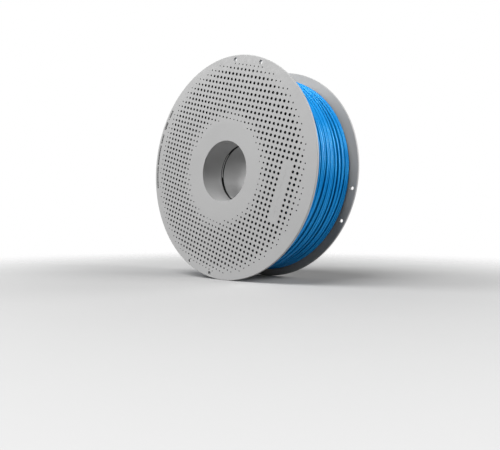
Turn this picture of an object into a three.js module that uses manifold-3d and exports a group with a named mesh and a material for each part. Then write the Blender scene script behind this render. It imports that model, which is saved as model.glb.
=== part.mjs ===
// A refillable filament spool: two moulded sides that twist and lock together inside a wound refill.
// Millimetres. The spool's axis is Y, side A is at -Y, side B at +Y, and +Z is up.
// The origin is the middle of the spool, so it stands on its two rims at z = -SPOOL_RADIUS.
// Angles round the axis are in degrees, from +X towards +Z.

import * as THREE from "three";
import { mergeVertices } from "three/addons/utils/BufferGeometryUtils.js";
import Module from "manifold-3d";

const wasm = await Module();
wasm.setup();

// Driving dimensions
const SPOOL_RADIUS = 100;
const SPOOL_WIDTH = 67;
const BORE_RADIUS = 27.5;
const FLANGE_THICKNESS = 2.4;
const EDGE_CHAMFER = 0.5;

const TUBE_WALL = 2.4; // the hub's inner tube, round the bore
const DRUM_RADIUS = 40.3; // the hub's outer drum, which carries the refill
const DRUM_WALL = 2;
const SEAM_Y = -5.5; // where the two bore tubes meet
const SEAM_GAP = 1.8;
const LAND_GAP = 0.4; // the seam's gap along the three lands
const LAND_ANGLE = 49;
const DRUM_SEAM_Y = -0.7;
const DRUM_SEAM_GAP = 0.6;

const LUG_COUNT = 3;
const FIRST_LUG_ANGLE = 37.5;
const LUG_HALF_ANGLE = 13;
const LUG_RADIUS = 33;
const LUG_LOW_Y = -3.4;
const LUG_HIGH_Y = 0;
const KEEPER_RADIUS = 30.3; // inner radius of the keepers that the lugs turn behind
const KEEPER_FROM = -65; // a keeper's ends, counted from its lug's angle
const KEEPER_TO = -25;
const STOP_ANGLE = 4;
const STOP_CLEARANCE = 2; // degrees between a lug and the stop it turns against
const TWIST_RANGE = 38;
const LOCK_CLEARANCE = 0.4;
const SLEEVE_INNER_RADIUS = 33.4;
const SLEEVE_WALL = 2;
const SLEEVE_LOW_Y = -16;
const SLEEVE_HIGH_Y = 4.2;

const RIB_COUNT = 6;
const RIB_THICKNESS = 1.8;
const RIB_TIP_A_Y = -12;
const RIB_TIP_B_Y = 6;

const LATTICE_ANGLE = -19; // the flange's pattern, and the rim holes with it, is turned by this
const RIM_HOLE_DIAMETER = 3.3;
const RIM_HOLE_CIRCLE_RADIUS = 95.9;
const RIM_HOLE_HALF_SPREAD = 9;

const CORE_INNER_RADIUS = 41.2;
const CORE_WALL = 2.4;
const CORE_LENGTH = 61.6;
const KEY_WIDTH = 8;
const KEY_DEPTH = 6; // how far the key reaches in from side B's flange
const KEY_OUTER_RADIUS = 43;
const KEY_CLEARANCE = 0.4;

const PACK_INNER_RADIUS = 43.9;
const PACK_RADIUS = 92;
const PACK_LENGTH = 61;
const PACK_SHOULDER = 1.2; // how far in the rounded shoulder of the winding starts

const TAG_OUTER_RADIUS = 41.05;
const TAG_THICKNESS = 0.3;
const TAG_LENGTH = 14;
const TAG_ANGLE = 36;
const TAG_INSET = 3; // from the core's end

const ROUND_STEPS = 60;
const ARC_STEPS = 6;
const HOLE_STEPS = 12;
const CUT_MARGIN = 1; // how far a cutting solid stands out past what it cuts

// Derived places
const HALF_WIDTH = SPOOL_WIDTH / 2;
const RIM_CORNER_RADIUS = SPOOL_RADIUS / Math.cos(Math.PI / ROUND_STEPS);
const TUBE_RADIUS = BORE_RADIUS + TUBE_WALL;
const DRUM_INNER_RADIUS = DRUM_RADIUS - DRUM_WALL;
const FLANGE_Y = HALF_WIDTH - FLANGE_THICKNESS; // the flanges' inner faces
const TUBE_B_END_Y = SEAM_Y + SEAM_GAP / 2;
const LAND_Y = TUBE_B_END_Y - LAND_GAP;
const TUBE_A_END_Y = SEAM_Y - SEAM_GAP / 2;

// Materials
function material(color, roughness) {
  return new THREE.MeshStandardMaterial({ color, roughness, metalness: 0 });
}
const greyPlastic = material(0xbfc0c2, 0.55);
const cardboard = material(0xb28c5e, 0.9);
const blueFilament = material(0x1d7fd2, 0.3);
const whiteLabel = material(0xe6e6e0, 0.6);

const radians = THREE.MathUtils.degToRad;
const lugAngles = Array.from({ length: LUG_COUNT }, (_, i) => FIRST_LUG_ANGLE + (360 / LUG_COUNT) * i);

// A closed geometry as a solid that can be joined and cut.
function solid(geometry) {
  const bare = geometry.clone();
  bare.deleteAttribute("normal");
  bare.deleteAttribute("uv");
  const merged = mergeVertices(bare, 1e-4);
  const vertProperties = merged.getAttribute("position").array;
  const triVerts = new Uint32Array(merged.index.array);
  return new wasm.Manifold(new wasm.Mesh({ numProp: 3, vertProperties, triVerts }));
}

function geometryOf(manifold) {
  const { vertProperties, triVerts } = manifold.getMesh();
  const geometry = new THREE.BufferGeometry();
  geometry.setAttribute("position", new THREE.BufferAttribute(vertProperties, 3));
  geometry.setIndex(new THREE.BufferAttribute(triVerts, 1));
  geometry.computeVertexNormals();
  return geometry;
}

// A profile of [radius, y] points, turned about the spool's axis with a flat side down.
function turned(profile) {
  const points = [...profile, profile[0]].map(([radius, y]) => new THREE.Vector2(radius, y));
  return new THREE.LatheGeometry(points, ROUND_STEPS, Math.PI / ROUND_STEPS, 2 * Math.PI);
}

function ring(innerRadius, outerRadius, lowY, highY) {
  return turned([
    [innerRadius, lowY],
    [outerRadius, lowY],
    [outerRadius, highY],
    [innerRadius, highY],
  ]);
}

// A part of a ring between two angles.
function sector(innerRadius, outerRadius, lowY, highY, fromAngle, toAngle) {
  const shape = new THREE.Shape();
  shape.absarc(0, 0, outerRadius, radians(fromAngle), radians(toAngle), false);
  shape.absarc(0, 0, innerRadius, radians(toAngle), radians(fromAngle), true);
  const settings = { depth: highY - lowY, bevelEnabled: false, curveSegments: ARC_STEPS };
  return new THREE.ExtrudeGeometry(shape, settings).rotateX(Math.PI / 2).translate(0, highY, 0);
}

// A block whose length runs out along a radius, from one radius to another.
function radialBlock(fromRadius, toRadius, lowY, highY, thickness, angle) {
  return new THREE.BoxGeometry(toRadius - fromRadius, highY - lowY, thickness)
    .translate((fromRadius + toRadius) / 2, (lowY + highY) / 2, 0)
    .rotateY(-radians(angle));
}

function rimHole(angle, y) {
  const depth = FLANGE_THICKNESS + 2 * CUT_MARGIN;
  return new THREE.CylinderGeometry(RIM_HOLE_DIAMETER / 2, RIM_HOLE_DIAMETER / 2, depth, HOLE_STEPS)
    .translate(RIM_HOLE_CIRCLE_RADIUS, y, 0)
    .rotateY(-radians(angle));
}

// Two pairs of holes opposite each other, where the filament's loose end is tucked in.
function rimHoles(pairAngle, side) {
  const y = side * (HALF_WIDTH - FLANGE_THICKNESS / 2);
  const pair = (middle) => [middle - RIM_HOLE_HALF_SPREAD, middle + RIM_HOLE_HALF_SPREAD];
  return [...pair(pairAngle), ...pair(pairAngle + 180)].map((angle) => rimHole(angle, y));
}

// The ribs that join a side's bore tube to its drum, sunk into both and into the flange.
function hubRibs(lowY, highY) {
  const fromRadius = BORE_RADIUS + TUBE_WALL / 2;
  const toRadius = DRUM_RADIUS - DRUM_WALL / 2;
  return Array.from({ length: RIB_COUNT }, (_, i) =>
    radialBlock(fromRadius, toRadius, lowY, highY, RIB_THICKNESS, (360 / RIB_COUNT) * i),
  );
}

const joined = (base, additions) => additions.reduce((whole, piece) => whole.add(solid(piece)), base);
const cut = (base, cutters) => cutters.reduce((whole, piece) => whole.subtract(solid(piece)), base);

// Flange, drum and bore tube in one outline, drawn for side A. tubeEnd and drumEnd are y values.
function sideOutline(tubeEnd, drumEnd) {
  return [
    [BORE_RADIUS + EDGE_CHAMFER, -HALF_WIDTH],
    [RIM_CORNER_RADIUS - EDGE_CHAMFER, -HALF_WIDTH],
    [RIM_CORNER_RADIUS, -HALF_WIDTH + EDGE_CHAMFER],
    [RIM_CORNER_RADIUS, -FLANGE_Y - EDGE_CHAMFER],
    [RIM_CORNER_RADIUS - EDGE_CHAMFER, -FLANGE_Y],
    [DRUM_RADIUS, -FLANGE_Y],
    [DRUM_RADIUS, drumEnd],
    [DRUM_INNER_RADIUS, drumEnd],
    [DRUM_INNER_RADIUS, -FLANGE_Y],
    [TUBE_RADIUS, -FLANGE_Y],
    [TUBE_RADIUS, tubeEnd],
    [BORE_RADIUS, tubeEnd],
    [BORE_RADIUS, -HALF_WIDTH + EDGE_CHAMFER],
  ];
}

// The same outline turned round for side B, kept in the order that faces out.
const mirrored = (outline) => outline.map(([radius, y]) => [radius, -y]).reverse();

// What the lugs lock into: a sleeve round the bore tube with keepers and stops inside its end.
function lockSleeve() {
  const outerRadius = SLEEVE_INNER_RADIUS + SLEEVE_WALL;
  const sleeveMiddle = SLEEVE_INNER_RADIUS + SLEEVE_WALL / 2;
  const keeperY = LUG_HIGH_Y + LOCK_CLEARANCE;
  const stopY = LUG_LOW_Y - LOCK_CLEARANCE;
  const closedStop = LUG_HALF_ANGLE + STOP_CLEARANCE;
  const lockedStop = -LUG_HALF_ANGLE - TWIST_RANGE - STOP_CLEARANCE;
  const pieces = [ring(SLEEVE_INNER_RADIUS, outerRadius, SLEEVE_LOW_Y, SLEEVE_HIGH_Y)];
  const addSector = (lowY, from, to) => {
    pieces.push(sector(KEEPER_RADIUS, sleeveMiddle, lowY, SLEEVE_HIGH_Y, from, to));
  };
  for (const angle of lugAngles) {
    addSector(keeperY, angle + KEEPER_FROM, angle + KEEPER_TO);
    addSector(stopY, angle + lockedStop - STOP_ANGLE, angle + lockedStop);
    addSector(stopY, angle + closedStop, angle + closedStop + STOP_ANGLE);
  }
  return pieces;
}

// Side A's tube is cut back between the three lands that close the seam.
function seamCuts() {
  const span = 360 / LUG_COUNT - LAND_ANGLE;
  return lugAngles.map((angle) => {
    const from = angle + LAND_ANGLE / 2;
    const inner = BORE_RADIUS - CUT_MARGIN;
    const outer = TUBE_RADIUS + (KEEPER_RADIUS - TUBE_RADIUS) / 2;
    return sector(inner, outer, TUBE_A_END_Y, LAND_Y + CUT_MARGIN, from, from + span);
  });
}

function sideA() {
  const drumEnd = DRUM_SEAM_Y - DRUM_SEAM_GAP / 2;
  const tube = cut(solid(turned(sideOutline(LAND_Y, drumEnd))), seamCuts());
  const ribRoot = -FLANGE_Y - FLANGE_THICKNESS / 2;
  const hub = joined(tube, [...hubRibs(ribRoot, RIB_TIP_A_Y), ...lockSleeve()]);
  return geometryOf(cut(hub, rimHoles(LATTICE_ANGLE + 90, -1)));
}

function sideB() {
  const drumEnd = DRUM_SEAM_Y + DRUM_SEAM_GAP / 2;
  const shell = solid(turned(mirrored(sideOutline(-TUBE_B_END_Y, -drumEnd))));
  const tubeMiddle = BORE_RADIUS + TUBE_WALL / 2;
  const lugs = lugAngles.map((angle) => {
    const from = angle - LUG_HALF_ANGLE;
    return sector(tubeMiddle, LUG_RADIUS, LUG_LOW_Y, LUG_HIGH_Y, from, from + 2 * LUG_HALF_ANGLE);
  });
  const ribRoot = FLANGE_Y + FLANGE_THICKNESS / 2;
  const keyRoot = DRUM_RADIUS - DRUM_WALL / 2;
  const keyAngle = LATTICE_ANGLE + 90;
  const key = radialBlock(keyRoot, KEY_OUTER_RADIUS, FLANGE_Y - KEY_DEPTH, ribRoot, KEY_WIDTH, keyAngle);
  const whole = joined(shell, [...hubRibs(RIB_TIP_B_Y, ribRoot), ...lugs, key]);
  return geometryOf(cut(whole, rimHoles(LATTICE_ANGLE, 1)));
}

// The refill's cardboard tube, with a notch that side B's key turns it by.
function core() {
  const end = CORE_LENGTH / 2;
  const tube = solid(ring(CORE_INNER_RADIUS, CORE_INNER_RADIUS + CORE_WALL, -end, end));
  const fromRadius = CORE_INNER_RADIUS - CUT_MARGIN;
  const toRadius = CORE_INNER_RADIUS + CORE_WALL + CUT_MARGIN;
  const lowY = FLANGE_Y - KEY_DEPTH - KEY_CLEARANCE;
  const width = KEY_WIDTH + 2 * KEY_CLEARANCE;
  const notch = radialBlock(fromRadius, toRadius, lowY, end + CUT_MARGIN, width, LATTICE_ANGLE + 90);
  return geometryOf(cut(tube, [notch]));
}

// The wound filament as one body, with the rounded shoulders that its side turns fall back in.
function filament() {
  const end = PACK_LENGTH / 2;
  const side = (way) => [
    [PACK_INNER_RADIUS, way * end],
    [PACK_RADIUS - PACK_SHOULDER, way * end],
    [PACK_RADIUS - PACK_SHOULDER / 4, way * (end - PACK_SHOULDER / 4)],
    [PACK_RADIUS, way * (end - PACK_SHOULDER)],
  ];
  return turned([...side(-1), ...side(1).reverse()]);
}

// A thin curved sticker on the inside of the core, near one of its ends.
function idTag(end) {
  const outerEdge = end * (CORE_LENGTH / 2 - TAG_INSET);
  const innerEdge = outerEdge - end * TAG_LENGTH;
  const lowY = Math.min(outerEdge, innerEdge);
  const innerRadius = TAG_OUTER_RADIUS - TAG_THICKNESS;
  const from = LATTICE_ANGLE - TAG_ANGLE / 2;
  return sector(innerRadius, TAG_OUTER_RADIUS, lowY, lowY + TAG_LENGTH, from, from + TAG_ANGLE);
}

function named(name, geometry, meshMaterial) {
  const mesh = new THREE.Mesh(geometry, meshMaterial);
  mesh.name = name;
  return mesh;
}

const refill = new THREE.Group();
refill.add(
  named("core", core(), cardboard),
  named("filament", filament(), blueFilament),
  named("id_tag_a", idTag(-1), whiteLabel),
  named("id_tag_b", idTag(1), whiteLabel),
);

const spool = new THREE.Group();
spool.add(named("side_a", sideA(), greyPlastic), refill, named("side_b", sideB(), greyPlastic));

export default spool;
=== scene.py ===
"""A filament spool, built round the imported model: two perforated moulded sides that twist together
through a wound refill. Metres in Blender; the numbers below are millimetres unless they say otherwise.
The spool's axis is Y, side A is at -Y, and angles go round that axis from +X towards +Z."""

import math
import random

import bmesh
import bpy
import numpy as np
from mathutils import Matrix, Vector


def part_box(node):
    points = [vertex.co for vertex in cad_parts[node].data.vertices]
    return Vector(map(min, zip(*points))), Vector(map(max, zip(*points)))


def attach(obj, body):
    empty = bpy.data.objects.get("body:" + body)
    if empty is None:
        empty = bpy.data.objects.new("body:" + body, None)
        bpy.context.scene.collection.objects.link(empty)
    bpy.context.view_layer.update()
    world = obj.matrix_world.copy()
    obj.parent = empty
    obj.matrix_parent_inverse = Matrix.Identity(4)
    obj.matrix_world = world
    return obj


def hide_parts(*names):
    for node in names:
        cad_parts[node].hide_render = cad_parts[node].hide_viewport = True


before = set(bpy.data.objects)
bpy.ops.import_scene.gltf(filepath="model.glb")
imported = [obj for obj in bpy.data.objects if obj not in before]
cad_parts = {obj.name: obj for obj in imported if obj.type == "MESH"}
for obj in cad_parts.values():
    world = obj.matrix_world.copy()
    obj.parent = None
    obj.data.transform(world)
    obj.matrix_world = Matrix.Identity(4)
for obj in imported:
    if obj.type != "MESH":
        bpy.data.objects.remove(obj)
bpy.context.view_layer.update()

MM = 0.001

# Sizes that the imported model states
SIDE_LOW, SIDE_HIGH = (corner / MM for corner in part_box("side_a"))
SPOOL_RADIUS = SIDE_HIGH.z
HALF_WIDTH = -SIDE_LOW.y
CORE_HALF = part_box("core")[1].y / MM
PACK_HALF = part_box("filament")[1].y / MM

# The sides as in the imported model, but for a shallow dish round the bore and a wider seam in it
BORE_RADIUS = 27.5
TUBE_RADIUS = 29.9
DRUM_RADIUS = 40.3
DRUM_INNER_RADIUS = 38.3
FLANGE_THICKNESS = 2.4
FLANGE_Y = HALF_WIDTH - FLANGE_THICKNESS
DISH_RADIUS = 43
DISH_DEPTH = 0.3
# Side A's tube ends at TUBE_A_END_Y, but its three lands reach on to LAND_Y
TUBE_A_END_Y = -7.9
TUBE_B_END_Y = -4.6
LAND_Y = -5.7
LAND_ANGLE = 49
LAND_GROOVE_Y = -7.7
LAND_GROOVE_HALF = 0.4
LAND_GROOVE_DEPTH = 0.6
DRUM_END_Y = {-1: -1.0, 1: 0.4}
LUG_ANGLES = (37.5, 157.5, 277.5)
LUG_HALF_ANGLE = 13
LUG_RADIUS = 33
LUG_Y = (-3.4, 0.0)
KEEPER_RADIUS = 30.3
KEEPER_Y = 0.4
STOP_Y = -3.8
# The sleeve's teeth for each lug: (low end, high end, first angle, last angle), angles from the lug's
SLEEVE_TEETH = (
    (KEEPER_Y, 3.9, -65, -25),
    (STOP_Y, 3.7, -57, -53),
    (STOP_Y, 3.7, 15, 19),
)
SLEEVE_RADII = (33.4, 35.4)
SLEEVE_Y = (-16, 4.2)
RIB_THICKNESS = 1.8
RIB_TIP_Y = {-1: -12, 1: 6}
KEY_WIDTH = 8
KEY_DEPTH = 6
KEY_OUTER_RADIUS = 43
KEY_ANGLE = 71

# The pattern of holes: a lattice along u and v, turned by LATTICE_ANGLE, in bands round PATTERN_CENTRE.
# It has a row at v = 0 but no column at u = 0, and its first and last rows are pulled inwards.
LATTICE_ANGLE = -19
PITCH = 4.6
LAST_ROW = 20
LAST_ROW_PULL = 0.8
PATTERN_STRETCH = (0.993, 1.008)  # along u, along v
PATTERN_SHIFT = (-0.08, -0.2)
PATTERN_CENTRE = -1.5  # its u
PATTERN_OVAL = 0.975
# The bands of holes: (outer limit, diameter)
HOLE_BANDS = (
    (43.5, None),
    (45.8, 0.95),
    (50.5, 1.6),
    (84.3, 2.35),
    (86, 1.95),
    (88, 1.6),
    (89.5, 1.15),
    (91.7, 0.95),
)
SIDE_B_SMALLEST_HOLE = 1.1
HOLE_CHAMFER = 0.12
DRILL_PAST = 0.5  # how far a drill reaches past the flange
RIM_HOLE_RADIUS = 1.65
RIM_HOLE_CIRCLE_RADIUS = {-1: 96.3, 1: 95.9}
RIM_HOLE_HALF_SPREAD = 9
RIM_HOLE_TURN = 1.3  # of side A's two pairs, in opposite ways
RIM_HOLE_FLARE = 0.7
RIM_PAIR_ANGLE = {-1: LATTICE_ANGLE + 90, 1: LATTICE_ANGLE}
BLANK_COLUMNS = (14, 15)
BLANK_HALF_ROWS = 5
MARK_DEPTH = 0.12
BAR_DEPTH = 0.05
# The marks round side A's rim in degrees: (start, end, inner radius, outer radius)
MARK_BANDS = (
    (136.6, 141.3, 95.5, 97.5),
    (141.9, 142.7, 96.0, 97.0),
    (144.4, 149.2, 95.2, 97.9),
    (152.2, 157.8, 95.4, 97.4),
    (159.0, 171.2, 95.4, 97.4),
    (171.8, 185.4, 95.4, 97.3),
)
MARK_LENGTHS = (0.9, 0.5, 1.3, 0.7, 1.1)
MARK_GAP = 0.16
# The bars in the blank strip: (length, shift to one side)
STRIP_BARS = ((5.0, 0.9), (2.6, -0.5), (7.4, 0.3), (3.2, 0.8), (6.0, -0.6), (4.2, 0.4), (5.4, 0.0))
BAR_WIDTH = 2.4
BAR_GAP = 1.3
BARS_START = -21.0

# The refill
CORE_INNER_RADIUS = 41.2
CORE_RADIUS = 43.6
NOTCH_WIDTH = 8.8
NOTCH_DEPTH = 7.0
PACK_INNER_RADIUS = 43.9
PACK_RADIUS = 92.7
STRAND_RADIUS = 0.875
TAG_RADII = (40.78, 41.04)
TAG_HALF_ANGLE = 18
TAG_CORNER = 2.0

ROUND_STEPS = 240
CREASE_ANGLE = 32


# Mesh making

def to_mesh_object(name, vertices, faces):
    """A closed solid in metres from points in millimetres, with its faces turned out."""
    mesh = bpy.data.meshes.new(name)
    mesh.from_pydata((np.asarray(vertices) * MM).tolist(), [], faces)
    work = bmesh.new()
    work.from_mesh(mesh)
    bmesh.ops.recalc_face_normals(work, faces=work.faces)
    work.to_mesh(mesh)
    work.free()
    thing = bpy.data.objects.new(name, mesh)
    bpy.context.scene.collection.objects.link(thing)
    return thing


def rounded(corners, segments=4):
    """A closed outline from (radius, y, fillet) corners, with an arc at each fillet."""
    outline = []
    count = len(corners)
    for i, (radius, y, fillet) in enumerate(corners):
        here = Vector((radius, y))
        if not fillet:
            outline.append((radius, y))
            continue
        before = Vector(corners[i - 1][:2]) - here
        after = Vector(corners[(i + 1) % count][:2]) - here
        half = before.angle(after) / 2
        reach = fillet / math.tan(half)
        middle = (before.normalized() + after.normalized()).normalized() * (fillet / math.sin(half))
        start = before.normalized() * reach - middle
        end = after.normalized() * reach - middle
        for step in range(segments + 1):
            mixed = start.lerp(end, step / segments).normalized() * fillet
            outline.append(tuple(here + middle + mixed))
    return outline


def ring_grid(steps, count):
    """The faces between `steps` closed outlines of `count` points that go once round the axis."""
    faces = []
    for i in range(steps):
        here, there = i * count, (i + 1) % steps * count
        for j in range(count):
            k = (j + 1) % count
            faces.append((here + j, here + k, there + k, there + j))
    return faces


def lathe(name, outline):
    """A closed (radius, y) outline turned about the spool's axis."""
    steps, count = ROUND_STEPS, len(outline)
    outline = np.array(outline)
    angles = np.arange(steps) * 2 * math.pi / steps
    radii, heights = outline[:, 0], outline[:, 1]
    x = np.outer(np.cos(angles), radii)
    z = np.outer(np.sin(angles), radii)
    y = np.broadcast_to(heights, x.shape)
    vertices = np.stack([x, y, z], -1).reshape(-1, 3)
    return to_mesh_object(name, vertices, ring_grid(steps, count))


def sector(name, radii, heights, angles, steps=24):
    """Part of a ring, between two angles in degrees."""
    (inner, outer), (low, high) = radii, heights
    corners = [(inner, low), (outer, low), (outer, high), (inner, high)]
    vertices, faces = [], []
    for i in range(steps + 1):
        angle = math.radians(angles[0] + (angles[1] - angles[0]) * i / steps)
        vertices += [(r * math.cos(angle), y, r * math.sin(angle)) for r, y in corners]
    for i in range(steps):
        for j in range(4):
            k = (j + 1) % 4
            faces.append((4 * i + j, 4 * i + k, 4 * i + 4 + k, 4 * i + 4 + j))
    faces += [(3, 2, 1, 0), tuple(4 * steps + j for j in range(4))]
    return to_mesh_object(name, vertices, faces)


def directions(angle):
    """The direction at an angle round the axis, and the direction square to it."""
    turn = math.radians(angle)
    return np.array([math.cos(turn), 0, math.sin(turn)]), np.array([-math.sin(turn), 0, math.cos(turn)])


def block(name, corners, heights):
    """A block between two heights, over four corners in order."""
    vertices = [corner + np.array([0, y, 0]) for y in heights for corner in corners]
    faces = [(0, 1, 2, 3), (7, 6, 5, 4)]
    faces += [(j, 4 + j, 4 + (j + 1) % 4, (j + 1) % 4) for j in range(4)]
    return to_mesh_object(name, vertices, faces)


def radial_block(name, radii, heights, width, angle):
    """A block that runs out along a radius."""
    along, across = directions(angle)
    ends = ((radii[0], -1), (radii[1], -1), (radii[1], 1), (radii[0], 1))
    corners = [along * radius + across * side * width / 2 for radius, side in ends]
    return block(name, corners, heights)


def ring_faces(first, sides):
    """The faces between one ring of points and the next."""
    last = first + sides
    return [(first + j, first + (j + 1) % sides, last + (j + 1) % sides, last + j) for j in range(sides)]


def drills(name, tools, sides):
    """One mesh of many closed drills. Each is (x, z, stack), with (y, radius) pairs for its stack."""
    vertices, faces = [], []
    angles = (np.arange(sides) + 0.5) * 2 * math.pi / sides
    circle = np.stack([np.cos(angles), np.sin(angles)], -1)
    for x, z, stack in tools:
        base = len(vertices)
        for y, radius in stack:
            vertices += [(x + radius * cx, y, z + radius * cz) for cx, cz in circle]
        for level in range(len(stack) - 1):
            faces += ring_faces(base + level * sides, sides)
        faces.append(tuple(base + j for j in range(sides)))
        faces.append(tuple(base + (len(stack) - 1) * sides + j for j in reversed(range(sides))))
    return to_mesh_object(name, vertices, faces)


def joined(things, name):
    """Several objects that don't touch as one."""
    work = bmesh.new()
    for thing in things:
        work.from_mesh(thing.data)
    mesh = bpy.data.meshes.new(name)
    work.to_mesh(mesh)
    work.free()
    for thing in things:
        bpy.data.objects.remove(thing)
    whole = bpy.data.objects.new(name, mesh)
    bpy.context.scene.collection.objects.link(whole)
    return whole


def freeze(thing):
    """Applies an object's modifiers."""
    graph = bpy.context.evaluated_depsgraph_get()
    mesh = bpy.data.meshes.new_from_object(thing.evaluated_get(graph))
    old = thing.data
    thing.modifiers.clear()
    thing.data = mesh
    bpy.data.meshes.remove(old)


def combine(body, tool, operation):
    """Joins a tool to a body or cuts it out, and removes the tool."""
    modifier = body.modifiers.new("combine", "BOOLEAN")
    modifier.solver = "MANIFOLD"
    modifier.operation = operation
    modifier.object = tool
    freeze(body)
    bpy.data.objects.remove(tool)


def smooth(thing):
    """Smooth shading with true creases, and flat faces that stay flat beside their fillets."""
    mesh = thing.data
    mesh.polygons.foreach_set("use_smooth", [True] * len(mesh.polygons))
    mesh.set_sharp_from_angle(angle=math.radians(CREASE_ANGLE))
    modifier = thing.modifiers.new("flat", "WEIGHTED_NORMAL")
    modifier.keep_sharp = True
    modifier.weight = 100
    freeze(thing)


# The sides

def side_outline(way):
    """Flange, drum and bore tube in one outline, for side A (way -1) or side B (way 1)."""
    tube_end = LAND_Y if way < 0 else TUBE_B_END_Y
    outer, inner = way * HALF_WIDTH, way * FLANGE_Y
    return rounded([
        (BORE_RADIUS, way * (HALF_WIDTH - DISH_DEPTH), 0.2),
        (DISH_RADIUS, outer, 1.0),
        (SPOOL_RADIUS, outer, 0.5),
        (SPOOL_RADIUS, inner, 0.5),
        (DRUM_RADIUS, inner, 0.8),
        (DRUM_RADIUS, DRUM_END_Y[way], 0.4),
        (DRUM_INNER_RADIUS, DRUM_END_Y[way], 0.4),
        (DRUM_INNER_RADIUS, inner, 0.6),
        (TUBE_RADIUS, inner, 0.6),
        (TUBE_RADIUS, tube_end, 0.3),
        (BORE_RADIUS, tube_end, 0.3),
    ])


def hub_ribs(way):
    """Six ribs between the bore tube and the drum."""
    root = way * (FLANGE_Y + FLANGE_THICKNESS / 2)
    radii = (BORE_RADIUS + 1.2, DRUM_RADIUS - 1)
    ribs = [
        radial_block("rib", radii, sorted((root, RIB_TIP_Y[way])), RIB_THICKNESS, 60 * i)
        for i in range(6)
    ]
    return joined(ribs, "ribs")


def from_lattice(u, v):
    """The (x, z) of a place on the lattice."""
    turn = math.radians(LATTICE_ANGLE)
    return u * math.cos(turn) - v * math.sin(turn), u * math.sin(turn) + v * math.cos(turn)


def hole_diameter(u, v):
    """The diameter of the hole at a place of the lattice, or None where there is none."""
    reach = math.hypot(u - PATTERN_CENTRE, PATTERN_OVAL * v)
    for limit, diameter in HOLE_BANDS:
        if reach < limit:
            return diameter
    return None


def flange_drills(way):
    """The drills of one flange's pattern of holes, with a small chamfer at its outer face."""
    tools = []
    for column in range(-LAST_ROW, LAST_ROW):
        for row in range(-LAST_ROW, LAST_ROW + 1):
            if way < 0 and column in BLANK_COLUMNS and abs(row) <= BLANK_HALF_ROWS:
                continue
            u, v = (column + 0.5) * PITCH, row * PITCH
            diameter = hole_diameter(u, v)
            if not diameter or way > 0 and diameter < SIDE_B_SMALLEST_HOLE:
                continue
            u = u * PATTERN_STRETCH[0] + PATTERN_SHIFT[0]
            v = v * PATTERN_STRETCH[1] + PATTERN_SHIFT[1]
            if abs(row) == LAST_ROW:
                v -= math.copysign(LAST_ROW_PULL, v)
            radius = diameter / 2
            stack = [
                (way * (HALF_WIDTH + DRILL_PAST), radius + HOLE_CHAMFER + DRILL_PAST),
                (way * (HALF_WIDTH - HOLE_CHAMFER), radius),
                (way * (FLANGE_Y - DRILL_PAST), radius),
            ]
            tools.append((*from_lattice(u, v), stack))
    return drills("flange_drills", tools, 14)


def rim_drills(way):
    """The drills of one flange's four rim holes, which are flared at both faces."""
    radius, reach = RIM_HOLE_RADIUS, RIM_HOLE_CIRCLE_RADIUS[way]
    tools = []
    for pair in (0, 180):
        for side in (-1, 1):
            angle = math.radians(RIM_PAIR_ANGLE[way] + pair + side * RIM_HOLE_HALF_SPREAD)
            if way < 0:
                angle += math.radians(RIM_HOLE_TURN) * (1 if pair == 0 else -1)
            stack = [
                (way * (HALF_WIDTH + DRILL_PAST), radius + RIM_HOLE_FLARE),
                (way * (HALF_WIDTH - 0.2), radius),
                (way * (FLANGE_Y + 0.2), radius),
                (way * (FLANGE_Y - DRILL_PAST), radius + RIM_HOLE_FLARE),
            ]
            tools.append((reach * math.cos(angle), reach * math.sin(angle), stack))
    return drills("rim_drills", tools, 24)


def lock_parts():
    """The sleeve on side A with the keepers and stops that side B's lugs turn behind."""
    middle = sum(SLEEVE_RADII) / 2
    sleeve = lathe("sleeve", rounded([
        (SLEEVE_RADII[0], SLEEVE_Y[0], 0), (SLEEVE_RADII[1], SLEEVE_Y[0], 0),
        (SLEEVE_RADII[1], SLEEVE_Y[1], 0.4), (SLEEVE_RADII[0], SLEEVE_Y[1], 0.2),
    ]))
    teeth = []
    for angle in LUG_ANGLES:
        for low, high, start, end in SLEEVE_TEETH:
            span = (angle + start, angle + end)
            teeth.append(sector("tooth", (KEEPER_RADIUS, middle), (low, high), span))
    return sleeve, teeth


def side_a():
    """The near moulding, whose tube is cut back between three lands with a groove in each."""
    body = lathe("side_a_shell", side_outline(-1))
    cut_radii = (BORE_RADIUS - 1, TUBE_RADIUS + 0.2)
    cut_heights = (TUBE_A_END_Y, LAND_Y + 1)
    for angle in LUG_ANGLES:
        start = angle + LAND_ANGLE / 2
        cut = sector("cut", cut_radii, cut_heights, (start, start + 120 - LAND_ANGLE))
        combine(body, cut, "DIFFERENCE")
    groove_radii = (BORE_RADIUS - 1, BORE_RADIUS + LAND_GROOVE_DEPTH)
    groove_heights = (LAND_GROOVE_Y - LAND_GROOVE_HALF, LAND_GROOVE_Y + LAND_GROOVE_HALF)
    grooves = [
        sector("groove", groove_radii, groove_heights, (angle - LAND_ANGLE / 2, angle + LAND_ANGLE / 2))
        for angle in LUG_ANGLES
    ]
    combine(body, joined(grooves, "grooves"), "DIFFERENCE")
    combine(body, hub_ribs(-1), "UNION")
    sleeve, teeth = lock_parts()
    combine(body, sleeve, "UNION")
    for tooth in teeth:
        combine(body, tooth, "UNION")
    combine(body, rim_drills(-1), "DIFFERENCE")
    combine(body, face_marks(), "DIFFERENCE")
    combine(body, flange_drills(-1), "DIFFERENCE")
    return body


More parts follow.
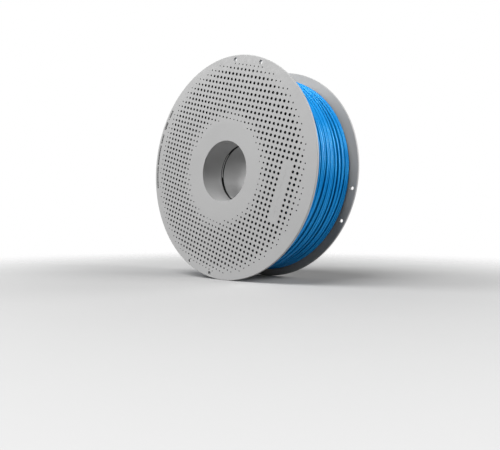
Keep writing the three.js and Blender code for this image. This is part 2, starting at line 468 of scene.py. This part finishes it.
def side_b():
    """The far moulding, with its three lugs on the tube and its key on the drum."""
    body = lathe("side_b_shell", side_outline(1))
    lug_radii = (BORE_RADIUS + 1.2, LUG_RADIUS)
    lugs = [
        sector("lug", lug_radii, LUG_Y, (angle - LUG_HALF_ANGLE, angle + LUG_HALF_ANGLE))
        for angle in LUG_ANGLES
    ]
    combine(body, joined(lugs, "lugs"), "UNION")
    combine(body, hub_ribs(1), "UNION")
    key_radii = (DRUM_RADIUS - 1, KEY_OUTER_RADIUS)
    key_heights = (FLANGE_Y - KEY_DEPTH, FLANGE_Y + 1)
    key = radial_block("key", key_radii, key_heights, KEY_WIDTH, KEY_ANGLE)
    combine(body, key, "UNION")
    combine(body, rim_drills(1), "DIFFERENCE")
    combine(body, flange_drills(1), "DIFFERENCE")
    return body


def face_marks():
    """Plain shallow bars in side A's blank strip, and plain dashes round part of its rim."""
    heights = (-HALF_WIDTH - 1, -HALF_WIDTH + MARK_DEPTH)
    marks = []
    count = 0
    for start, end, inner, outer in MARK_BANDS:
        while start < end - MARK_GAP:
            length = min(MARK_LENGTHS[count % len(MARK_LENGTHS)], end - start)
            marks.append(sector("mark", (inner, outer), heights, (start, start + length), 6))
            start += length + MARK_GAP
            count += 1
    middle = (sum(BLANK_COLUMNS) / 2 + 0.5) * PITCH
    offset = BARS_START
    bar_heights = (-HALF_WIDTH - 1, -HALF_WIDTH + BAR_DEPTH)
    for length, shift in STRIP_BARS:
        centre = from_lattice(middle + shift, offset + length / 2)
        marks.append(bar(centre, BAR_WIDTH, length, bar_heights))
        offset += length + BAR_GAP
    return joined(marks, "marks")


def bar(centre, width, length, heights):
    """An upright block whose width lies along the lattice's u."""
    along, across = directions(LATTICE_ANGLE)
    middle = np.array([centre[0], 0, centre[1]])
    ends = ((-1, -1), (1, -1), (1, 1), (-1, 1))
    corners = [middle + along * a * width / 2 + across * b * length / 2 for a, b in ends]
    return block("bar", corners, heights)


# The refill

def core_tube():
    """The cardboard tube, with a notch for side B's key."""
    body = lathe("core_tube", rounded([
        (CORE_INNER_RADIUS, -CORE_HALF, 0.3), (CORE_RADIUS, -CORE_HALF, 0.5),
        (CORE_RADIUS, CORE_HALF, 0.5), (CORE_INNER_RADIUS, CORE_HALF, 0.3),
    ], 3))
    notch_radii = (CORE_INNER_RADIUS - 1, CORE_RADIUS + 1)
    notch_heights = (CORE_HALF - NOTCH_DEPTH, CORE_HALF + 1)
    notch = radial_block("notch", notch_radii, notch_heights, NOTCH_WIDTH, KEY_ANGLE)
    combine(body, notch, "DIFFERENCE")
    return body


# The winding's top layer lies in bundles with grooves between them. Each groove is (y at 20 degrees,
# y at -35 degrees, depth at 20, depth at -35), and each number in BUNDLES is one bundle's strands.
GROOVES = (
    (-24.0, -22.8, 0.9, 0.7),
    (-16.6, -18.4, 1.0, 0.8),
    (-7.6, -11.5, 0.9, 1.9),
    (-1.9, -5.2, 0.7, 1.2),
    (4.5, 4.7, 1.0, 1.2),
    (9.8, 11.2, 1.7, 1.9),
    (15.9, 15.2, 1.6, 0.7),
    (22.7, 19.6, 1.0, 1.1),
)
BUNDLES = (3, 3, 4, 3, 4, 3, 3, 3, 4)
TURNS = sum(BUNDLES)
GROOVE_WIDTH = 0.5
EDGE_CLEARANCE = 0.3
# Depths of the top layer below PACK_RADIUS
LAYER_DEPTH = 0.35
LEAST_DEPTH = 0.02
EDGE_DEPTH = 0.15  # more than the layer's, beside the flanges
STRAND_STEPS = 216
CROSSOVER = (200, 262)  # degrees, where each turn steps over to the next place


def wave(rng, orders, size):
    """A smooth random function of the angle round the spool that comes back to its start."""
    terms = [(order, rng.uniform(0, 2 * math.pi), rng.uniform(0.5, 1)) for order in orders]
    scale = size / sum(term[2] for term in terms)

    def value(angle):
        return scale * sum(weight * np.sin(order * angle + phase) for order, phase, weight in terms)

    return value


def groove_lines(angles):
    """Where each groove lies and how deep it is, at each angle round the spool."""
    rng = random.Random(11)
    swing = np.sin(3 * (angles + math.radians(7.5)))  # near 1 at 20 degrees and near -1 at -35
    lines = []
    for first, second, first_depth, second_depth in GROOVES:
        y = (first + second) / 2 + (first - second) / 2 * swing
        y = y + wave(rng, (2, 4, 5), 0.35)(angles)
        depth = (first_depth + second_depth) / 2 + (first_depth - second_depth) / 2 * swing
        depth = depth + wave(rng, (1, 4, 5), 0.25)(angles)
        lines.append((y, depth))
    return lines


def top_layer():
    """Where each turn of the top layer lies: its y and radius at each step round the spool."""
    rng = random.Random(12)
    angles = np.arange(STRAND_STEPS) * 2 * math.pi / STRAND_STEPS
    edge = PACK_HALF - STRAND_RADIUS - EDGE_CLEARANCE
    beside = STRAND_RADIUS + GROOVE_WIDTH / 2
    lines = groove_lines(angles)
    places, depths = [], []
    for index, count in enumerate(BUNDLES):
        first, last = index == 0, index == len(BUNDLES) - 1
        low = -edge if first else lines[index - 1][0] + beside
        high = edge if last else lines[index][0] - beside
        low_depth = EDGE_DEPTH if first else lines[index - 1][1]
        high_depth = EDGE_DEPTH if last else lines[index][1]
        lift = wave(rng, (1, 2, 3, 5), 0.3)(angles)
        for k in range(count):
            share = k / (count - 1)
            across = 2 * share - 1
            side_depth = low_depth if across < 0 else high_depth
            depth = LAYER_DEPTH - lift + side_depth * abs(across) ** 2.2
            depths.append(depth + wave(rng, (2, 3, 5, 8), 0.06)(angles))
            places.append(low + (high - low) * share + wave(rng, (2, 3, 5, 7), 0.06)(angles))
    radii = PACK_RADIUS - STRAND_RADIUS - np.maximum(np.array(depths), LEAST_DEPTH)
    return angles, np.array(places), radii


def step_over(angles):
    """How far each turn has gone over towards the next place."""
    start, end = (math.radians(a) for a in CROSSOVER)
    t = np.clip((angles - start) / (end - start), 0, 1)
    return t * t * (3 - 2 * t)


def tube(path, radius, sides):
    """A round strand along a path, with closed ends."""
    path = np.asarray(path)
    ahead = np.gradient(path, axis=0)
    ahead /= np.linalg.norm(ahead, axis=1, keepdims=True)
    out = path * np.array([1, 0, 1])
    out -= ahead * (out * ahead).sum(1, keepdims=True)
    out /= np.linalg.norm(out, axis=1, keepdims=True)
    beside = np.cross(ahead, out)
    turns = (np.arange(sides) + 0.5) * 2 * math.pi / sides
    rings = (path[:, None] + radius * (np.cos(turns)[None, :, None] * out[:, None]
                                       + np.sin(turns)[None, :, None] * beside[:, None]))
    count = len(path)
    faces = []
    for i in range(count - 1):
        faces += ring_faces(i * sides, sides)
    faces.append(tuple(reversed(range(sides))))
    faces.append(tuple((count - 1) * sides + j for j in range(sides)))
    return rings.reshape(-1, 3), faces


def filament_strands():
    """The top layer as one strand, turn after turn, and its loose end, tucked into side B's rim."""
    angles, places, radii = top_layer()
    over = step_over(angles)
    path = []
    for k in range(TURNS):
        last = min(k + 1, TURNS - 1)
        y = places[k] * (1 - over) + places[last] * over
        r = radii[k] * (1 - over) + radii[last] * over
        path.append(np.stack([r * np.cos(angles), y, r * np.sin(angles)], -1))
    path = np.concatenate(path)
    path = np.concatenate([path, loose_end(path[-1])])
    vertices, faces = tube(path, STRAND_RADIUS, 8)
    return to_mesh_object("filament_strands", vertices, faces)


def loose_end(last):
    """From the last turn out to a rim hole of side B, and along the spool's axis into it."""
    rise_steps, bend_steps, bend_radius = 60, 10, 1.8
    bend_y = FLANGE_Y - 2.1
    end_y = HALF_WIDTH - 0.6
    hole = math.radians(RIM_PAIR_ANGLE[1] + 180 - RIM_HOLE_HALF_SPREAD)
    start_angle = math.atan2(last[2], last[0]) % (2 * math.pi)
    start_radius, start_y = math.hypot(last[0], last[2]), last[1]
    points = []
    for i in range(1, rise_steps + 1):
        t = i / rise_steps
        angle = start_angle + (hole - start_angle) * t
        rise = t * t * (3 - 2 * t)
        radius = start_radius + (RIM_HOLE_CIRCLE_RADIUS[1] - start_radius) * rise
        y = start_y + (bend_y - start_y) * min(1, 3 * t)
        points.append(np.array([radius * math.cos(angle), y, radius * math.sin(angle)]))
    forward = np.array([-math.sin(hole), 0, math.cos(hole)]) * bend_radius
    corner = points[-1]
    for i in range(1, bend_steps + 1):
        t = math.pi / 2 * i / bend_steps
        points.append(corner + forward * math.sin(t) + np.array([0, bend_radius * (1 - math.cos(t)), 0]))
    end = points[-1]
    for i in range(1, 4):
        points.append(end + np.array([0, i * (end_y - end[1]) / 3, 0]))
    # All of it is drawn back, more and more up to the bend's radius, to go in at the hole's middle
    for i, point in enumerate(points):
        points[i] = point - forward * min(1.0, (i + 1) / rise_steps)
    return np.array(points)


# The body under the top layer
FLANK_LAYERS = 25
FLANK_POINTS = 4  # to each layer
FLANK_CLEARANCE = 0.9
RIDGE_HEIGHT = 0.5
OUTER_POINTS = 132
OUTER_CLEARANCE = 0.9
BODY_DEPTH = 0.6
GROOVE_SLOPE = 1.6


def flank(way, edge, angle, waves):
    """One end face of the body, from its edge inwards, with a ridge for each layer of strands."""
    count = FLANK_LAYERS * FLANK_POINTS
    span = edge - PACK_INNER_RADIUS
    points = []
    for j in range(count):
        bulge = math.sin(math.pi * (j % FLANK_POINTS + 0.5) / FLANK_POINTS)
        slack = FLANK_CLEARANCE + waves[j // FLANK_POINTS](angle)
        y = way * (PACK_HALF - slack + RIDGE_HEIGHT * bulge)
        points.append((edge - span * (j + 0.5) / count, y))
    return points


def filament_body():
    """The winding below its top layer, with the strands' ridges on its outside and its flanks."""
    rng = random.Random(23)
    angles, places, radii = top_layer()
    over = step_over(angles)
    heights = np.linspace(-PACK_HALF + OUTER_CLEARANCE, PACK_HALF - OUTER_CLEARANCE, OUTER_POINTS)
    waves_a, waves_b = (
        [wave(rng, (1, 2, 3, 4), 0.3) for _ in range(FLANK_LAYERS + 1)] for _ in range(2)
    )
    last = np.minimum(np.arange(TURNS) + 1, TURNS - 1)
    rows = []
    for i, angle in enumerate(angles):
        y = places[:, i] * (1 - over[i]) + places[last, i] * over[i]
        r = radii[:, i] * (1 - over[i]) + radii[last, i] * over[i]
        order = np.argsort(y)
        base = np.interp(heights, y[order], r[order])
        nearest = np.abs(heights[:, None] - y[None]).min(1)
        # The body sinks where no strand lies over it, and the grooves stay open
        outer = base - BODY_DEPTH - np.clip(nearest - 0.85, 0, 0.9) * GROOVE_SLOPE
        row = list(zip(outer, heights))
        row += flank(1, outer[-1], angle, waves_b)
        row += flank(-1, outer[0], angle, waves_a)[::-1]
        rows.append(row)
    rows = np.array(rows)
    x = rows[..., 0] * np.cos(angles)[:, None]
    z = rows[..., 0] * np.sin(angles)[:, None]
    vertices = np.stack([x, rows[..., 1], z], -1).reshape(-1, 3)
    return to_mesh_object("filament_body", vertices, ring_grid(len(angles), rows.shape[1]))


def tag_sheet(name, node):
    """A thin curved label with rounded corners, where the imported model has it."""
    low, high = (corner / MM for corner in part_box(node))
    outer = TAG_RADII[1]
    middle_y = (low.y + high.y) / 2
    half_y = (high.y - low.y) / 2 - 0.01
    reach = math.radians(TAG_HALF_ANGLE) * outer
    straight = reach - TAG_CORNER
    bends = [straight + TAG_CORNER * math.cos(math.radians(15 * i)) for i in range(7)]
    columns = {round(way * u, 4) for u in bends for way in (-1, 1)}
    columns = sorted(columns | {reach * (i / 16 - 1) for i in range(33)})
    vertices, faces = [], []
    for u in columns:
        inset = max(0.0, abs(u) - straight)
        drop = TAG_CORNER - math.sqrt(max(TAG_CORNER**2 - inset**2, 0))
        top, bottom = half_y - drop, -half_y + drop
        angle = math.radians(LATTICE_ANGLE) + u / outer
        for radius in TAG_RADII:
            for v in (bottom, max(top, bottom + 0.02)):
                vertices.append((radius * math.cos(angle), middle_y + v, radius * math.sin(angle)))
    for i in range(len(columns) - 1):
        a, b = 4 * i, 4 * i + 4
        faces += [(a, a + 1, b + 1, b), (a + 3, a + 2, b + 2, b + 3)]
        faces += [(a + 1, a + 3, b + 3, b + 1), (a + 2, a, b, b + 2)]
    end = len(vertices) - 4
    faces += [(1, 0, 2, 3), (end, end + 1, end + 3, end + 2)]
    return to_mesh_object(name, vertices, faces)


# Materials

FADE_START, FADE_END = 0.12, 0.6  # metres from the spool's middle


class Nodes:
    """A material's node tree, with short calls to add to it."""

    def __init__(self, name):
        self.material = bpy.data.materials.new(name)
        self.material.use_nodes = True
        self.tree = self.material.node_tree
        self.shader = self.tree.nodes["Principled BSDF"]
        self.place = self.add("ShaderNodeTexCoord").outputs["Object"]

    def add(self, kind, **settings):
        node = self.tree.nodes.new(kind)
        for key, value in settings.items():
            setattr(node, key, value)
        return node

    def link(self, source, target):
        self.tree.links.new(source, target)

    def noise(self, scale, detail=2.0, stretch=None):
        """A noise texture's value; stretch scales the place along each axis first."""
        place = self.place
        if stretch:
            mapping = self.add("ShaderNodeMapping")
            mapping.inputs["Scale"].default_value = stretch
            self.link(place, mapping.inputs["Vector"])
            place = mapping.outputs["Vector"]
        texture = self.add("ShaderNodeTexNoise")
        texture.inputs["Scale"].default_value = scale
        texture.inputs["Detail"].default_value = detail
        self.link(place, texture.inputs["Vector"])
        return texture.outputs["Fac"]

    def ramp(self, value, low, high, start=0.0, end=1.0):
        """value from start..end turned into low..high."""
        node = self.add("ShaderNodeMapRange")
        for name, number in (("From Min", start), ("From Max", end), ("To Min", low), ("To Max", high)):
            node.inputs[name].default_value = number
        self.link(value, node.inputs["Value"])
        return node.outputs["Result"]

    def dimmed(self, colour, bounced):
        """A colour that gives its neighbours only the plain tone `bounced` as diffuse light."""
        node = self.add("ShaderNodeMix", data_type="RGBA")
        # A mix node has a socket for every data type: these are its factor and its two colours
        factor, first, second = (node.inputs[i] for i in (0, 6, 7))
        self.link(self.add("ShaderNodeLightPath").outputs["Is Diffuse Ray"], factor)
        self.link(colour, first)
        second.default_value = (*bounced, 1)
        return node.outputs[2]

    def math(self, operation, *values):
        """The result of an operation on numbers or sockets."""
        node = self.add("ShaderNodeMath", operation=operation)
        for socket, value in zip(node.inputs, values):
            if isinstance(value, (int, float)):
                socket.default_value = value
            else:
                self.link(value, socket)
        return node.outputs["Value"]

    def colours(self, value, *stops):
        """A value looked up in a row of (place, colour) stops."""
        node = self.add("ShaderNodeValToRGB")
        elements = node.color_ramp.elements
        while len(elements) < len(stops):
            elements.new(0.5)
        for element, (place, colour) in zip(elements, stops):
            element.position = place
            element.color = (*colour, 1)
        self.link(value, node.inputs["Fac"])
        return node.outputs["Color"]

    def bump(self, height, distance, strength, before=None):
        """Relief, in metres, on top of any relief before it."""
        node = self.add("ShaderNodeBump")
        node.inputs["Strength"].default_value = strength
        node.inputs["Distance"].default_value = distance
        self.link(height, node.inputs["Height"])
        if before:
            self.link(before, node.inputs["Normal"])
        return node.outputs["Normal"]

    def finish(self, colour, roughness, normal=None, **constants):
        """The material, once its shader has its sockets linked and its constants set."""
        self.link(colour, self.shader.inputs["Base Color"])
        self.link(roughness, self.shader.inputs["Roughness"])
        if normal:
            self.link(normal, self.shader.inputs["Normal"])
        for name, value in constants.items():
            self.shader.inputs[name.replace("_", " ")].default_value = value
        return self.material


def grey(level, warmth=0.0):
    """A grey colour, warm for a warmth above 0."""
    return (level * (1 + warmth), level, level * (1 - warmth))


def side_plastic():
    """Satin light grey moulding with a fine spark-eroded grain and faint flow clouds."""
    n = Nodes("side_plastic")
    cloud = n.noise(14, 3)
    speck = n.noise(900, 2)
    mixed = n.math("ADD", n.math("MULTIPLY", cloud, 0.7), n.math("MULTIPLY", speck, 0.3))
    colour = n.colours(mixed, (0.3, grey(0.475)), (0.7, grey(0.53)))
    roughness = n.ramp(n.noise(260, 3), 0.44, 0.6, 0.3, 0.7)
    grain = n.bump(n.noise(2600, 2), 0.00004, 0.5)
    normal = n.bump(n.noise(60, 2), 0.0002, 0.12, grain)
    return n.finish(colour, roughness, normal, IOR=1.46)


def painted_hole_shade():
    """Painted shade: near-black grey on the walls of the small holes and of the bore's seam, which are
    the same plastic as the rest.
    """
    n = Nodes("painted_hole_shade")
    colour = n.colours(n.noise(700, 2), (0.3, grey(0.07)), (0.7, grey(0.1)))
    return n.finish(colour, n.ramp(n.noise(500), 0.6, 0.75, 0.3, 0.7), IOR=1.4)


def mark_ink():
    """Dark grey paint in the rim's dashes."""
    n = Nodes("mark_ink")
    colour = n.colours(n.noise(700, 2), (0.3, grey(0.05)), (0.7, grey(0.08)))
    return n.finish(colour, n.ramp(n.noise(500), 0.5, 0.65, 0.3, 0.7), IOR=1.46)


def filament_plastic():
    """Glossy azure plastic, with faint clouds and specks, that casts only dim light on the sides."""
    n = Nodes("filament_plastic")
    cloud = n.noise(45, 3)
    fine = n.noise(500, 2)
    mixed = n.math("ADD", n.math("MULTIPLY", cloud, 0.85), n.math("MULTIPLY", fine, 0.15))
    colour = n.colours(mixed, (0.3, (0.01, 0.345, 0.97)), (0.7, (0.013, 0.385, 1.0)))
    roughness = n.ramp(n.noise(60, 2), 0.17, 0.22, 0.3, 0.7)
    colour = n.dimmed(colour, (0.05, 0.065, 0.09))
    return n.finish(colour, roughness, IOR=1.5, Specular_IOR_Level=0.8, Specular_Tint=(0.15, 0.75, 1, 1))


def core_board():
    """Brown board, wound in a spiral, with fibres and a seam at each turn of the strip."""
    n = Nodes("core_board")
    split = n.add("ShaderNodeSeparateXYZ")
    n.link(n.place, split.inputs["Vector"])
    angle = n.math("ARCTAN2", split.outputs["Z"], split.outputs["X"])
    along = n.math("DIVIDE", split.outputs["Y"], 0.038)
    strip = n.math("FRACT", n.math("ADD", n.math("DIVIDE", angle, 2 * math.pi), along))
    seam = n.math("LESS_THAN", n.math("ABSOLUTE", n.math("SUBTRACT", strip, 0.5)), 0.012)
    fibre = n.noise(420, 4, (1, 0.25, 1))
    mottle = n.noise(60, 3)
    mixed = n.math("ADD", n.math("MULTIPLY", fibre, 0.6), n.math("MULTIPLY", mottle, 0.4))
    darker = n.math("SUBTRACT", mixed, n.math("MULTIPLY", seam, 0.2))
    browns = (0.2, (0.16, 0.09, 0.042)), (0.45, (0.36, 0.22, 0.115)), (0.7, (0.47, 0.31, 0.17))
    colour = n.colours(darker, *browns)
    relief = n.math("SUBTRACT", fibre, seam)
    return n.finish(colour, n.ramp(fibre, 0.78, 0.95, 0.3, 0.7), n.bump(relief, 0.00015, 0.5))


def tag_label():
    """White sticker with pale grey stripes in place of print."""
    n = Nodes("tag_label")
    split = n.add("ShaderNodeSeparateXYZ")
    n.link(n.place, split.inputs["Vector"])
    across = n.math("FRACT", n.math("MULTIPLY", split.outputs["Z"], 700))
    stripes = n.math("LESS_THAN", across, 0.35)
    fibre = n.noise(900, 3)
    paper = n.math("ADD", 0.4, n.math("MULTIPLY", fibre, 0.4))
    value = n.math("SUBTRACT", paper, n.math("MULTIPLY", stripes, 0.3))
    colour = n.colours(value, (0.1, grey(0.5, 0.02)), (0.6, grey(0.8, 0.02)))
    return n.finish(colour, n.ramp(fibre, 0.5, 0.65, 0.3, 0.7), n.bump(fibre, 0.00004, 0.4))


def floor_paint():
    """Pale paper that fades away into the white behind it and casts only dim light upwards."""
    n = Nodes("floor_paint")
    colour = n.colours(n.noise(3, 3), (0.3, grey(0.49)), (0.7, grey(0.51)))
    material = n.finish(n.dimmed(colour, grey(0.18)), n.ramp(n.noise(40), 0.7, 0.8))
    distance = n.add("ShaderNodeVectorMath", operation="LENGTH")
    n.link(n.place, distance.inputs[0])
    fade = n.add("ShaderNodeMapRange", interpolation_type="SMOOTHSTEP")
    fade.inputs["From Min"].default_value = FADE_START
    fade.inputs["From Max"].default_value = FADE_END
    n.link(distance.outputs["Value"], fade.inputs["Value"])
    clear = n.add("ShaderNodeBsdfTransparent")
    mixed = n.add("ShaderNodeMixShader")
    n.link(fade.outputs["Result"], mixed.inputs[0])
    n.link(n.shader.outputs[0], mixed.inputs[1])
    n.link(clear.outputs[0], mixed.inputs[2])
    n.link(mixed.outputs[0], n.tree.nodes["Material Output"].inputs["Surface"])
    return material


def paint(thing, *materials):
    """Gives a piece its material slots, in order."""
    thing.data.materials.clear()
    for material in materials:
        thing.data.materials.append(material)


# The pattern's holes lie between these distances from the axis, and the rim's marks outside them
SHADED_FROM = 43.2
SHADED_TO = {-1: 94, 1: 86}


def gets_painted_shade(centre, normal, way):
    """Whether a face is a wall of the pattern's holes or of the seam inside the bore, which takes the
    painted shade.
    """
    reach = math.hypot(centre.x, centre.z) / MM
    y = centre.y / MM
    if FLANGE_Y - 0.1 < way * y < HALF_WIDTH - 0.05:
        return SHADED_FROM < reach < SHADED_TO[way] and abs(normal.y) < 0.9
    on_seam = LAND_GROOVE_Y - 0.5 < y < TUBE_B_END_Y + 0.1
    return on_seam and BORE_RADIUS + 0.03 < reach < TUBE_RADIUS - 0.1


def assign_faces(thing, way):
    """Gives the walls of holes and seam the second material, their painted shade, and the floors of the
    rim's marks the third.
    """
    floor_y = way * (HALF_WIDTH - MARK_DEPTH) * MM
    for face in thing.data.polygons:
        centre, normal = face.center, face.normal
        on_floor = abs(centre.y - floor_y) < 0.02 * MM and abs(normal.y) > 0.9
        # The walls of holes and seam take the painted shade
        if gets_painted_shade(centre, normal, way):
            face.material_index = 1
        elif way < 0 and on_floor and math.hypot(centre.x, centre.z) > SHADED_TO[way] * MM:
            face.material_index = 2
        else:
            face.material_index = 0


# Stage, light and camera

CAMERA_PLACE = (296.2, -342.1, -54.1)
CAMERA_AZIMUTH = 43.79  # degrees
CAMERA_DOWN = 5.34
LENS = 33.07
SHIFT = (0.0526, 0.0976)
FLOOR_HALF = 6  # metres
FLOOR_SQUARES = 8
WORLD_LIGHT = 0.03


def camera():
    """The camera, at a place in millimetres, turned round Z and then tipped."""
    data = bpy.data.cameras.new("camera")
    data.lens = LENS
    data.sensor_width = 36
    data.shift_x, data.shift_y = SHIFT
    data.clip_start, data.clip_end = 0.01, 50
    thing = bpy.data.objects.new("camera", data)
    bpy.context.scene.collection.objects.link(thing)
    turn, down = math.radians(CAMERA_AZIMUTH), math.radians(CAMERA_DOWN)
    right = Vector((math.cos(turn), math.sin(turn), 0))
    back = Vector((math.sin(turn) * math.cos(down), -math.cos(turn) * math.cos(down), math.sin(down)))
    up = back.cross(right)
    rotation = Matrix((right, up, back)).transposed().to_4x4()
    thing.matrix_world = Matrix.Translation(Vector(CAMERA_PLACE) * MM) @ rotation
    bpy.context.scene.camera = thing


def area_light(name, place, size, watts):
    """A soft white box at a place in metres, facing the spool's middle."""
    data = bpy.data.lights.new(name, "AREA")
    data.shape = "RECTANGLE"
    data.size, data.size_y = size
    data.energy = watts
    thing = bpy.data.objects.new(name, data)
    bpy.context.scene.collection.objects.link(thing)
    thing.location = place
    thing.rotation_euler = (-Vector(place)).to_track_quat("-Z", "Y").to_euler()


def studio():
    """White surroundings, which light the spool only a little, and the soft boxes that light it."""
    world = bpy.data.worlds.new("studio")
    bpy.context.scene.world = world
    world.use_nodes = True
    tree = world.node_tree
    background = tree.nodes["Background"]
    background.inputs["Color"].default_value = (1, 1, 1, 1)
    path = tree.nodes.new("ShaderNodeLightPath")
    strength = tree.nodes.new("ShaderNodeMapRange")
    strength.inputs["To Min"].default_value = WORLD_LIGHT
    strength.inputs["To Max"].default_value = 1.0
    tree.links.new(path.outputs["Is Camera Ray"], strength.inputs["Value"])
    tree.links.new(strength.outputs["Result"], background.inputs["Strength"])
    bpy.context.scene.view_settings.view_transform = "Standard"
    area_light("key", (0.0, -0.85, 1.25), (0.9, 0.9), 18.5)
    area_light("left", (-1.0, -1.1, 0.95), (0.8, 0.8), 20)
    area_light("right", (1.45, 0.4, 0.98), (0.6, 0.6), 11)
    area_light("right_low", (1.6, 0.3, 0.25), (0.7, 0.5), 6.3)
    area_light("back", (0.9, 1.1, 0.5), (0.6, 0.5), 8)


def floor():
    """A flat floor at the rims' lowest point."""
    mesh = bpy.data.meshes.new("floor")
    low = -SPOOL_RADIUS * MM
    row = FLOOR_SQUARES + 1
    marks = np.linspace(-FLOOR_HALF, FLOOR_HALF, row)
    points = [(x, y, low) for x in marks for y in marks]
    corners = [i * row + j for i in range(FLOOR_SQUARES) for j in range(FLOOR_SQUARES)]
    faces = [(c, c + row, c + row + 1, c + 1) for c in corners]
    mesh.from_pydata(points, [], faces)
    thing = bpy.data.objects.new("floor", mesh)
    bpy.context.scene.collection.objects.link(thing)
    paint(thing, floor_paint())


def place(thing, body, slot, *nodes):
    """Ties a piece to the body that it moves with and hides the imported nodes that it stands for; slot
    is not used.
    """
    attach(thing, body)
    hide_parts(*nodes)


camera()
studio()
floor()

grey_plastic = side_plastic()
azure = filament_plastic()
# Near-black grey painted on the walls of holes and seam as shade
painted_wall_shade = painted_hole_shade()

shell_a = side_a()
smooth(shell_a)
paint(shell_a, grey_plastic, painted_wall_shade, mark_ink())
assign_faces(shell_a, -1)
place(shell_a, "side_a", "side_plastic", "side_a")

shell_b = side_b()
smooth(shell_b)
paint(shell_b, grey_plastic, painted_wall_shade)
assign_faces(shell_b, 1)
place(shell_b, "side_b", "side_plastic", "side_b")

tube_core = core_tube()
smooth(tube_core)
paint(tube_core, core_board())
place(tube_core, "refill", "core_board", "core")

for winding in (filament_strands(), filament_body()):
    winding.data.polygons.foreach_set("use_smooth", [True] * len(winding.data.polygons))
    paint(winding, azure)
    place(winding, "refill", "filament_plastic", "filament")

label = tag_label()
for node in ("id_tag_a", "id_tag_b"):
    sticker = tag_sheet(node.replace("id_tag", "tag_sheet"), node)
    smooth(sticker)
    paint(sticker, label)
    place(sticker, "refill", "tag_label", node)
